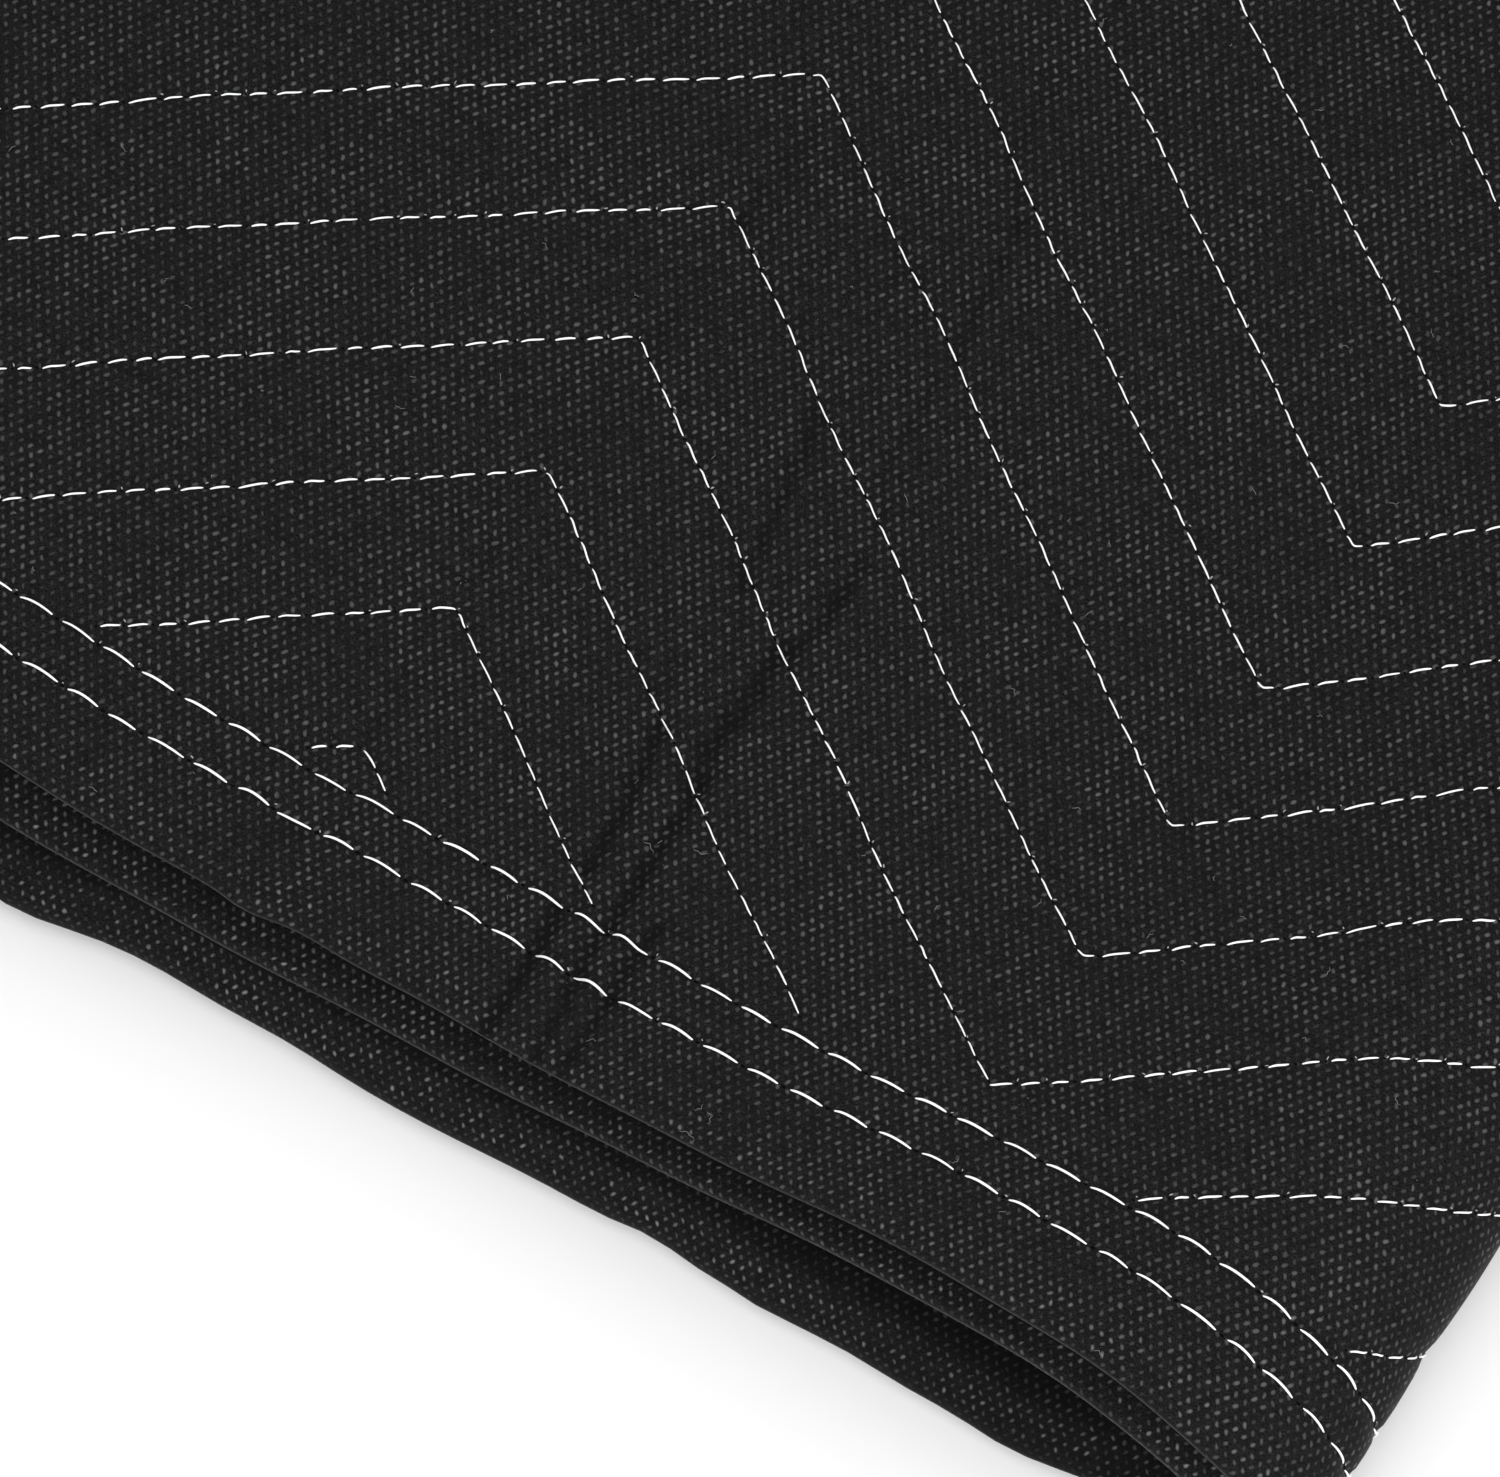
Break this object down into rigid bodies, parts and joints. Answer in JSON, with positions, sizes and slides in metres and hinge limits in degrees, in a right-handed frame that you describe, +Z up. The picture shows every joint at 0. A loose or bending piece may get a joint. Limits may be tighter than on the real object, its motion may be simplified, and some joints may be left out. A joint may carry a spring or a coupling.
{
  "type": "moving pad",
  "caption": "Thin black quilted moving pad with zigzag stitching and stitched hems, folded in half and in half again so that it lies flat as a soft stack.",
  "frame": {"origin": "middle of the base, at the bottom of the bounding box", "axes": "+Z up from the surface that it lies on, +Y across the pad from its front hem to its back hem, +X along the plies towards the thick outer fold"},
  "size_m": [0.4638, 1.0162, 0.0356],
  "materials": {
    "black_nonwoven": "matte black spunbond nonwoven with small embossed dashes",
    "white_thread": "white polyester sewing thread"
  },
  "bodies": {
    "root": {"pad": "black_nonwoven"}
  },
  "joints": []
}
